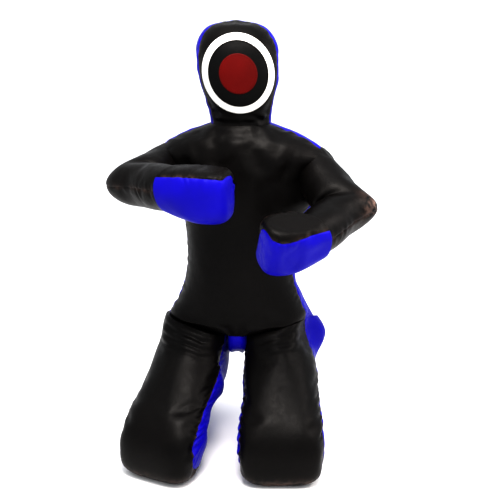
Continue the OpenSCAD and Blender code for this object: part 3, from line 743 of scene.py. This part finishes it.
def edge_wear(grid, columns, amount=0.35, wide=2.2):
    cols = grid.shape[1]
    j = np.arange(cols)
    near = np.min([np.abs((j - c + cols / 2) % cols - cols / 2) for c in columns], 0)
    return np.repeat((amount * np.exp(-(near / wide) ** 2))[None, :], len(grid), 0)


# Trunk. The leather is held still round the zip.
def zip_hold(grid, t):
    on = (np.abs(grid[..., 0]) < 36) & (grid[..., 1] > 60)
    return (on & (t > 3.3)[:, None] & (t < 9.7)[:, None]).astype(float)


COUNT_TRUNK = (54, 30, 30)
body, _ = limb("trunk", trunk, (9, 171, 270, 369), COUNT_TRUNK, 0, 15, 9.0, grow=0.012,
               pressure=3.0, cap=4.0, extra_hold=zip_hold)
normals = grid_normals(body)
seams = seam_columns(COUNT_TRUNK)
weight = np.clip((body[..., 2] - 330) / 40, 0, 1)
for column in seams[:2]:
    body = body + puckers(body, normals, column, 0.30, 6, 1.4, 1.3, weight)
for line, deep, wide, lip in (
        ([(-70, -60, 882), (-30, -86, 868), (20, -88, 866), (75, -55, 880)], 1.8, 10, 0.5),
        ([(-66, -80, 866), (-46, -100, 842), (-52, -112, 806), (-30, -114, 780)], 3.2, 17, 0.5),
        ([(52, -85, 866), (38, -104, 840), (60, -112, 800), (96, -108, 770)], 3.2, 17, 0.5),
        ([(-150, -50, 838), (-132, -85, 800), (-128, -95, 750)], 5.0, 13, 0.5),
        ([(150, -50, 838), (132, -85, 800), (128, -95, 750)], 5.0, 13, 0.5)):
    body = body + crease(body, normals, line, deep, wide, lip)
body = body + bump(body, normals, (-8, -108, 846), (40, 60, 30), 4.0)
for bulge in SIDE_SWELLS:
    body = body + swell(body, **bulge)
body = body + swell(body, **HIP_TUCK)
body = body + swell(body, **HIP_SWELL)
body, cols, first = finished(body, seams, 3.0, 0.4)
wear_and_sheen = edge_wear(body, cols)
last = len(body) - 1
around = body.shape[1]
WAIST = dict(blend=("pelvis", "chest", (0, 0, 435), (0, 0, 553)))


def zip_slot(p):
    """Moves the back panels' middle edge out to make room for the zip."""
    open_for = np.clip((p[..., 2] - 560) / 10, 0, 1) * np.clip((797 - p[..., 2]) / 10, 0, 1)
    gap = 0.3 + 9.3 * open_for * open_for * (3 - 2 * open_for)
    side = np.sign(np.mean(p[..., 0]))
    x = np.abs(p[..., 0])
    reach = 30.0
    moved = np.where(x < reach, gap + x * (reach - gap) / reach, x)
    back = (p[..., 1] > 40) & (p[..., 2] > 300)
    p[..., 0] = np.where(back, side * moved, p[..., 0])
    return p


patch("torso_front_panel", body, (0, last), (cols[0], cols[1]), "black_leather",
      ["torso_front_panel", "chest_filling", "pelvis_filling"], wear_and_sheen=wear_and_sheen, **WAIST)
for back_side, c0, c1 in (("left", cols[2], cols[0] + around), ("right", cols[1], cols[2])):
    panel = f"torso_back_{back_side}_panel"
    patch(panel, body, (0, last), (c0, c1), "blue_leather",
          [panel, "chest_filling", "pelvis_filling"], wear_and_sheen=wear_and_sheen, shift=zip_slot, **WAIST)

fork, _ = limb("gusset", gusset, (0, 360), (36,), 0, 4, 6.0, grow=0.008, pressure=2.0, cap=2.0)
# its underside arches between the thighs
GAP_X, ARCH_HALF = 6, 34
low_part = np.clip((fork[:1, :, 2].mean() - fork[..., 2]) / 40, 0, 1)
arch = np.clip(np.abs(fork[..., 0] - GAP_X) / ARCH_HALF, 0, 1.4) ** 2
fork[..., 2] += low_part * (-4 - 16 * arch)
fork, cols, first = finished(fork, [0], None, 1.5)
patch("crotch_gusset", fork, (0, len(fork) - 1), (cols[0], cols[0] + fork.shape[1]),
      "blue_leather", ["crotch_gusset", "pelvis_filling"], ride="pelvis")

# Head
TARGET_Z = NECK_Z + HEAD_H * 0.508
face_out = turned([0, -1, 0], HEAD_YAW)
face_side = turned([1, 0, 0], HEAD_YAW)


def row_axis(grid):
    return grid.mean(1, keepdims=True)


COUNT_HEAD = (31, 41)
HEAD_SEAMS = (22, 155, 382)
skull, _ = limb("head", head, HEAD_SEAMS, COUNT_HEAD, 0, 8, 8.5, grow=0.01, pressure=3.0, cap=3.0)
normals = grid_normals(skull)
seams = seam_columns(COUNT_HEAD)
for column in seams:
    skull = skull + puckers(skull, normals, column, 0.25, 4, 1.3, 1.0, 1.0, wave=0.4)
for line, deep, wide, lip in (
        ([(-78, -30, 908), (-40, -72, 902), (10, -84, 900), (60, -62, 905), (82, -20, 912)],
         3.0, 6, 0.7),
        ([(28, -88, 926), (52, -74, 914), (74, -48, 900)], 4.5, 7, 0.8),
        ([(-70, -60, 930), (-40, -84, 922)], 2.0, 6, 0.5)):
    skull = skull + crease(skull, normals, line, deep, wide, lip)
# the face lies smooth and full under the target
smooth_t = even_rows(head, 0, 8, 8.5)
smooth = doubled(shell(head, smooth_t, (22, 158, 382), COUNT_HEAD))
away = smooth - row_axis(smooth)
r = np.hypot(((away @ face_side) / 92), (smooth[..., 2] - TARGET_Z) / 100)
calm = np.clip((1.22 - r) / 0.2, 0, 1) * (away @ face_out > 0)
calm = (calm * calm * (3 - 2 * calm))[..., None]
skull = skull * (1 - calm) + smooth * calm
skull, cols, first = finished(skull, seams, 4.0, 1.0)
wear_and_sheen = edge_wear(skull, cols)
NECK = dict(blend=("chest", "head", (0, 0, 893), (0, 0, 950)))
patch("head_front_panel", skull, (0, len(skull) - 1), (cols[0], cols[1]), "black_leather",
      ["head_front_panel", "head_filling"], wear_and_sheen=wear_and_sheen, **NECK)
patch("head_back_panel", skull, (0, len(skull) - 1), (cols[1], cols[0] + skull.shape[1]),
      "blue_leather", ["head_back_panel", "head_filling"], wear_and_sheen=wear_and_sheen, **NECK)

# Target: three discs of thin leather laid on the face and stitched down
flat_skull = row_frame(skull).reshape(-1, 3)
rows_n, cols_n = skull.shape[:2]
quads = [(i * cols_n + j, i * cols_n + (j + 1) % cols_n, (i + 1) * cols_n + (j + 1) % cols_n,
          (i + 1) * cols_n + j) for i in range(rows_n - 1) for j in range(cols_n)]
face_tree = BVHTree.FromPolygons(flat_skull.tolist(), quads)
face_base = section_at(head, np.array([3.6]))[0, :3]


def on_face(x, z, lift):
    """A point lifted off the head's front, and the direction out of it."""
    start = np.array([face_base[0], face_base[1], 0]) + face_side * x + face_out * 300
    start[0] -= (z - face_base[2]) * math.tan(math.radians(HEAD_LEAN))
    start[2] = z
    hit, normal, *_ = face_tree.ray_cast(Vector(row_frame(start)), Vector(-face_out))
    out = np.array(normal)
    out = out if out @ face_out > 0 else -out
    out = unit(0.5 * out + 0.5 * face_out)
    return np.array(hit) / MM - CENTRING + out * lift, out


def disc(name, w, h, base, slot):
    count = 96
    rings = [(f, base + 1.3) for f in (0.02, 0.15, 0.3, 0.45, 0.6, 0.72, 0.82, 0.9, 0.95)]
    rings += [(0.975, base + 1.25), (0.99, base + 1.05), (1.0, base + 0.65), (0.997, base + 0.1)]
    rings += [(0.9, base), (0.5, base), (0.02, base)]
    verts = []
    for f, lift in rings:
        for k in range(count):
            a = 2 * math.pi * k / count
            x, z = f * w / 2 * math.cos(a), TARGET_Z + f * h / 2 * math.sin(a)
            verts.append(on_face(x, z, lift)[0])
    n = len(rings)
    faces = [(i * count + k, i * count + (k + 1) % count, (i + 1) * count + (k + 1) % count,
              (i + 1) * count + k) for i in range(n - 1) for k in range(count)]
    faces += [tuple(range(count))[::-1], tuple((n - 1) * count + k for k in range(count))]
    obj = mesh_object(name, row_frame(np.array(verts)), faces, slot=slot)
    obj.data.shade_smooth()
    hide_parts(name)
    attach(obj, "head")
    return obj


def stitches(name, points, outs, slot, body_name, long=3.6, thick=0.55):
    """Short rounded threads from point to point, half sunk in the leather."""
    verts, faces = [], []
    sides = 6
    for p, q, out in zip(points[:-1], points[1:], outs[:-1]):
        d = unit(q - p)
        side = unit(np.cross(d, out))
        middle = (p + q) / 2
        base = len(verts)
        stations = [(-0.5, 0.35, -0.35), (-0.36, 0.9, 0.05), (0, 1.0, 0.2), (0.36, 0.9, 0.05),
                    (0.5, 0.35, -0.35)]
        for f, fat, lift in stations:
            c = middle + d * long * f + out * lift
            for s in range(sides):
                a = 2 * math.pi * s / sides
                verts.append(c + (side * math.cos(a) + out * math.sin(a)) * thick * fat)
        for i in range(len(stations) - 1):
            for s in range(sides):
                a, b = base + i * sides + s, base + i * sides + (s + 1) % sides
                faces.append((a, b, b + sides, a + sides))
        faces.append(tuple(base + s for s in range(sides))[::-1])
        faces.append(tuple(base + (len(stations) - 1) * sides + s for s in range(sides)))
    obj = mesh_object(name, row_frame(np.array(verts)), faces, slot=slot)
    obj.data.shade_smooth()
    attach(obj, body_name)
    return obj


TARGET_W, TARGET_H = 184.0, 200.0
for name, share_w, share_h, base, slot in (
        ("target_white_disc", 1.0, 1.0, 0.1, "white_leather"),
        ("target_black_disc", 0.82, 0.82, 1.4, "target_black"),
        ("target_red_disc", 0.52, 0.50, 2.7, "red_leather")):
    disc(name, TARGET_W * share_w, TARGET_H * share_h, base, slot)
    ring = [on_face((TARGET_W * share_w / 2 - 3) * math.cos(a),
                    TARGET_Z + (TARGET_H * share_h / 2 - 3) * math.sin(a), base + 1.35)
            for a in np.linspace(0, 2 * math.pi, int(2.0 * share_w * 60) + 1)]
    stitches(name.replace("disc", "stitching"), [r[0] for r in ring], [r[1] for r in ring],
             slot, "head")

# Arms and hands
ANGLES_HAND = (48, 132, 312, 408)
COUNT_HAND = (12, 27, 14)
TIP = 5.45
# a faint scuff on the right elbow; on the left elbow a strong scuff that is also a painted pinkish
# highlight
ELBOW_SCUFF_AND_SHEEN = {"right": 0.1, "left": 1.0}
HAND_DIP = {"right": 0.0, "left": 17.0}
LEFT_HAND_LONG, LEFT_HAND_DEEP = 0.87, 1.05
for name in ("right", "left"):
    j = JOINTS[name]
    root, elbow, wrist = (np.asarray(j[k], float) for k in ("root", "elbow", "wrist"))
    upper, lower = unit(elbow - root), unit(wrist - elbow)
    sections = arm_sections(j)
    arm, (cut1, cut2) = limb(name + "_arm", sections, (0, 180, 360), (22, 22), 0.5, 7, 8.5,
                             stops=(2.3, 5.7), grow=0.015, pressure=3.0, cap=4.0)
    normals = grid_normals(arm)
    seams = seam_columns((22, 22))
    for column in seams:
        arm = arm + puckers(arm, normals, column, 0.30, 5, 1.3, 1.2, 1.0, wave=0.5)
    # folds across the inside of the elbow, and a few from the armhole
    inside = unit(j["bend"])
    across_arm = unit(np.cross(inside, lower))
    for shift_by, deep, wide in ((-26, 2.6, 7), (-6, 4.0, 8), (16, 3.0, 7), (38, 1.8, 6)):
        c = elbow + (upper if shift_by < 0 else lower) * abs(shift_by) * (-1 if shift_by < 0 else 1)
        line = [c + inside * 34 - across_arm * 54, c + inside * 58 - across_arm * 22,
                c + inside * 60 + across_arm * 20, c + inside * 36 + across_arm * 52]
        arm = arm + crease(arm, normals, line, deep, wide, 0.6)
    for k, angle in enumerate((20, 75, 130, 200, 260, 320)):
        a = math.radians(angle)
        side = across_arm * math.cos(a) + np.cross(upper, across_arm) * math.sin(a)
        line = [root + upper * 6 + side * 62, root + upper * (34 + 6 * (k % 3)) + side * 64]
        arm = arm + crease(arm, normals, line, 2.2, 7, 0.5)
    point = elbow - inside * 62
    arm = arm + swell(arm, point, (26, 26, 26), -inside * 9 + (upper - lower) * 3)
    arm, cols, first = finished(arm, seams, 6.0, 3.0)
    around = arm.shape[1]
    wear_and_sheen = edge_wear(arm, cols, 0.15)
    # the elbow's point gets the scuff colour, which on the left elbow is a painted highlight as
    # well as a scuff
    spot_mask = np.exp(-(((arm - (elbow - inside * 62)) / [34, 34, 30]) ** 2).sum(2))
    wear_and_sheen = np.maximum(wear_and_sheen, spot_mask * ELBOW_SCUFF_AND_SHEEN[name])
    spans = (("shoulder", 0, first + cut1, "chest", "upper_arm", root + upper * 4,
              root + upper * 62),
             ("elbow", first + cut1, first + cut2, "upper_arm", "forearm", elbow - upper * 45,
              elbow + lower * 45),
             ("wrist", first + cut2, len(arm) - 1, "forearm", "hand", wrist - lower * 45, wrist))
    halves = [("upper", cols[0], cols[1]), ("under", cols[1], cols[0] + around)]
    if name == "left":
        halves = [("under", cols[0], cols[1]), ("upper", cols[1], cols[0] + around)]
    for half, c0, c1 in halves:
        for span, r0, r1, a, b, start, end in spans:
            fill = {"shoulder": ["_upper_arm_filling"], "elbow": ["_upper_arm_filling",
                    "_forearm_filling"], "wrist": ["_forearm_filling"]}[span]
            patch(f"{name}_sleeve_{half}_{span}", arm, (r0, r1), (c0, c1), "black_leather",
                  [f"{name}_sleeve_{half}_panel"] + [name + f for f in fill], wear_and_sheen=wear_and_sheen,
                  blend=(a if a == "chest" else f"{name}_{a}", f"{name}_{b}", start, end))
    sections = hand_sections(j, name)
    if name == "left":
        sections[:, 0:3] = wrist + (sections[:, 0:3] - wrist) * LEFT_HAND_LONG
        sections[:, 6:9] *= LEFT_HAND_DEEP
        sections[1:, 0:3] -= unit(j["up"]) * 2
    mitt, (tip_row,) = limb(name + "_hand", sections, ANGLES_HAND, COUNT_HAND, 0, 6, 7.5,
                            stops=(TIP,), grow=0.012, pressure=3.5, cap=3.0)
    # the wall's seams run round the fingertips, where the top and the palm taper off
    t = even_rows(sections, 0, 6, 7.5, (TIP,))
    turns = shell_and_angles(sections, t, ANGLES_HAND, COUNT_HAND)[1]
    turns = np.concatenate([turns, turns[:, :1] + 360], 1)
    turns = (turns[:, :-1], (turns[:, :-1] + turns[:, 1:]) / 2)
    turns = np.stack(turns, 2).reshape(len(t), -1)
    fine = np.arange(2 * len(t) - 1) / 2
    turns = np.stack([np.interp(fine, np.arange(len(t)), turns[:, k])
                      for k in range(turns.shape[1])], 1)
    t = np.interp(fine, np.arange(len(t)), t)
    x = np.clip((t - 4.2) / 1.4, 0, 1)
    wrap = x * x * (3 - 2 * x)
    dip = HAND_DIP[name] * np.exp(-((t - 2.8) / 1.5) ** 2)
    marks = (48 + 0 * t, 132 + dip - 83.4 * wrap, 312 + 95.4 * wrap, 408 + 0 * t)
    mitt = recut(mitt, turns, marks, [2 * n for n in COUNT_HAND])
    normals = grid_normals(mitt)
    seams = seam_columns(COUNT_HAND)
    for column in seams:
        mitt = mitt + puckers(mitt, normals, column, 0.35, 4, 1.2, 1.0, 1.0, wave=0.5)
    if name == "right":
        row = int(len(mitt) * 0.80)
        line = [mitt[row + k % 2, k] for k in range(2, 2 * COUNT_HAND[0] - 1, 4)]
        mitt = mitt + crease(mitt, normals, line, 1.6, 2.6, 0.5)
    mitt, cols, first = finished(mitt, seams, 5.0, 1.0)
    wear_and_sheen = edge_wear(mitt, cols, 0.18)
    end = len(mitt) - 1
    tip_row += first
    for part, slot, c0, c1, r1 in (
            ("hand_top_panel", "black_leather", cols[0], cols[1], tip_row),
            ("hand_wall_panel", "blue_leather", cols[1], cols[2], end),
            ("palm_panel", "black_leather", cols[2], cols[0] + mitt.shape[1], tip_row)):
        patch(f"{name}_{part}", mitt, (0, r1), (c0, c1), slot,
              [f"{name}_{part}", f"{name}_hand_filling"], ride=f"{name}_hand", wear_and_sheen=wear_and_sheen)

# Legs
COUNT_LEG = (37, 37)
LEG_CREASE = {"right": 1.0, "left": 0.45}
# the inner thighs are pressed in, and the left hip follows the trunk's
LEG_SWELLS = {
    "left": (HIP_TUCK, HIP_SWELL,
             dict(centre=(20, -150, 175), radius=(44, 80, 45), push=(9, 0, 0))),
    "right": (dict(centre=(-30, 30, 170), radius=(70, 220, 170), push=(-17, 0, 0), behind=-125),
              dict(centre=(-30, -165, 150), radius=(44, 72, 40), push=(-15, 0, 0)))}
for name in ("right", "left"):
    side = SIDE[name]
    sections = leg_sections(name)
    leg, (cut1, knee_row, ankle_row) = limb(
        name + "_leg", sections, (9, 171, 369), COUNT_LEG, 0, len(LEG) - 1, 8.5,
        stops=(3, KNEE_SEAM, ANKLE_SEAM), grow=0.015, pressure=3.0, cap=4.0)
    normals = grid_normals(leg)
    seams = seam_columns(COUNT_LEG)
    for bulge in LEG_SWELLS[name]:
        leg = leg + swell(leg, **bulge)
    r = np.arange(len(leg))[:, None]
    near_knee = 0.7 + 1.1 * np.exp(-((r - knee_row) / 38.0) ** 2)
    for column in seams:
        leg = leg + puckers(leg, normals, column, 0.34, 6, 1.4, 1.5, near_knee, wave=0.8)
    for first_row, deep in ((4, 3.4), (8, 2.8), (12, 1.8)):
        cols = np.linspace(0.14, 0.80, 6) * 2 * COUNT_LEG[0]
        if name == "right":
            cols = 2 * COUNT_LEG[0] - cols
        line = [leg[first_row + k // 2, int(c)] for k, c in enumerate(cols)]
        leg = leg + crease(leg, normals, line, deep * LEG_CREASE[name], 6, 0.8)
    top = section_at(sections, np.array([0.0]))[0]
    plane = unit(np.cross(top[3:6], top[6:9]))
    ahead = section_at(sections, np.array([1.0]))[0, :3] - top[:3]
    plane = plane if plane @ ahead > 0 else -plane
    rise = np.clip(1 - (leg - leg[0].mean(0)) @ plane / 60, 0, 1)[..., None]
    leg = leg - plane * 7.5 * rise + grid_normals(leg) * 2.0 * rise * (1 - rise) * 4
    leg, cols, first = finished(leg, seams, 1.0, 1.0)
    around = leg.shape[1]
    wear_and_sheen = edge_wear(leg, cols, 0.3)
    spot_mask = np.exp(-((leg[..., 2] - 8) / 16) ** 2) * (leg[..., 1] < -150)
    wear_and_sheen = np.maximum(wear_and_sheen, 0.3 * spot_mask)
    yaw = side * THIGH_YAW[name]
    knee_out = turned([0, -0.12, 0], yaw) + np.array([0, 0, 0.99])
    fold = leg_point(189, 110, side, THIGH_YAW[name], THIGH_YAW[name])
    hip = ("pelvis", f"{name}_thigh", top[:3] + plane * 4, top[:3] + plane * 76)
    knee = (f"{name}_thigh", f"{name}_shin", fold + knee_out * 30, fold)
    cut1, knee_row, ankle_row = cut1 + first, knee_row + first, ankle_row + first
    for part, slot, c0, c1 in (("front", "black_leather", cols[0], cols[1]),
                               ("back", "blue_leather", cols[1], cols[0] + around)):
        nodes = [f"{name}_thigh_{part}_panel", f"{name}_thigh_filling"]
        patch(f"{name}_thigh_{part}_top", leg, (0, cut1), (c0, c1), slot, nodes,
              wear_and_sheen=wear_and_sheen, blend=hip)
        patch(f"{name}_thigh_{part}_knee", leg, (cut1, knee_row), (c0, c1), slot, nodes,
              wear_and_sheen=wear_and_sheen, blend=knee)
    for part, slot, c0, c1 in (("shin_floor_panel", "black_leather", cols[0], cols[1]),
                               ("calf_panel", "blue_leather", cols[1], cols[0] + around)):
        patch(f"{name}_{part}", leg, (knee_row, ankle_row), (c0, c1), slot,
              [f"{name}_{part}", f"{name}_shin_filling"], wear_and_sheen=wear_and_sheen, ride=f"{name}_shin")
    patch(f"{name}_foot_panel", leg, (ankle_row, len(leg) - 1), (cols[0], cols[0] + around),
          "black_leather", [f"{name}_foot_panel", f"{name}_foot_filling"], wear_and_sheen=wear_and_sheen,
          ride=f"{name}_shin")

# Zip: the CAD's own parts with a fine bevel
for node in ("zip_right_tape", "zip_left_tape", "zip_right_teeth", "zip_left_teeth",
             "zip_slider", "zip_pull"):
    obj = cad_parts[node]
    slot = "zip_tape" if "tape" in node else "zip_metal"
    obj.data.materials.clear()
    obj.data.materials.append(MATERIALS[slot])
    if slot == "zip_metal":
        bevel = obj.modifiers.new("bevel", "BEVEL")
        bevel.width = 0.0004
        bevel.segments = 2
        bevel.limit_method = "ANGLE"

# ---- Floor, light and camera

floor = bpy.data.meshes.new("floor")
floor.from_pydata([(-40, -40, 0), (40, -40, 0), (40, 40, 0), (-40, 40, 0)], [], [(0, 1, 2, 3)])
ground = bpy.data.objects.new("floor", floor)
scene.collection.objects.link(ground)
mat, t, bsdf = shader("floor")
place = add(t, "TexCoord").outputs["Object"]
cloud = add(t, "TexNoise", {"Vector": place, "Scale": 3.0, "Detail": 4.0})
t.links.new(colour_mix(t, cloud.outputs["Fac"], (0.88, 0.88, 0.88), (0.90, 0.90, 0.90)),
            bsdf.inputs["Base Color"])
bsdf.inputs["Roughness"].default_value = 0.9
floor.materials.append(mat)


def area(name, place, aim, size, power, colour=(1, 1, 1)):
    data = bpy.data.lights.new(name, "AREA")
    data.energy, data.size, data.color = power, size, colour
    obj = bpy.data.objects.new(name, data)
    scene.collection.objects.link(obj)
    obj.location = place
    obj.rotation_euler = (Vector(aim) - Vector(place)).to_track_quat("-Z", "Y").to_euler()


area("key", (0.15, -1.0, 2.25), (0, 0.0, 0.7), 0.8, 46, (1.0, 0.93, 0.87))
area("edge", (1.5, -0.1, 1.5), (0.1, 0, 0.7), 0.8, 14, (1.0, 0.92, 0.87))
sun = bpy.data.lights.new("sun", "SUN")
sun.energy, sun.angle = 1.0, math.radians(45)
sun_object = bpy.data.objects.new("sun", sun)
scene.collection.objects.link(sun_object)
sun_object.rotation_euler = (math.radians(14), math.radians(5), 0)
scene.view_settings.view_transform = "Standard"
scene.view_settings.look = "High Contrast"
world = bpy.data.worlds.new("world")
scene.world = world
world.use_nodes = True
world.node_tree.nodes["Background"].inputs["Color"].default_value = (0.95, 0.97, 1.0, 1)
world.node_tree.nodes["Background"].inputs["Strength"].default_value = 0.9

AZIMUTH, DISTANCE, HEIGHT, AIM_Z = math.radians(8), 2.3, 1.15, 0.545
shift = CENTRING * MM
lens = bpy.data.cameras.new("camera")
lens.sensor_width = 36
lens.lens = 36 * 865 / 500
lens.shift_x = 9 / 500
camera = bpy.data.objects.new("camera", lens)
scene.collection.objects.link(camera)
eye = Vector((DISTANCE * math.sin(AZIMUTH) + shift[0], -DISTANCE * math.cos(AZIMUTH) + shift[1],
              HEIGHT))
camera.location = eye
aim = Vector((shift[0], shift[1], AIM_Z))
camera.rotation_euler = (aim - eye).to_track_quat("-Z", "Y").to_euler()
scene.camera = camera
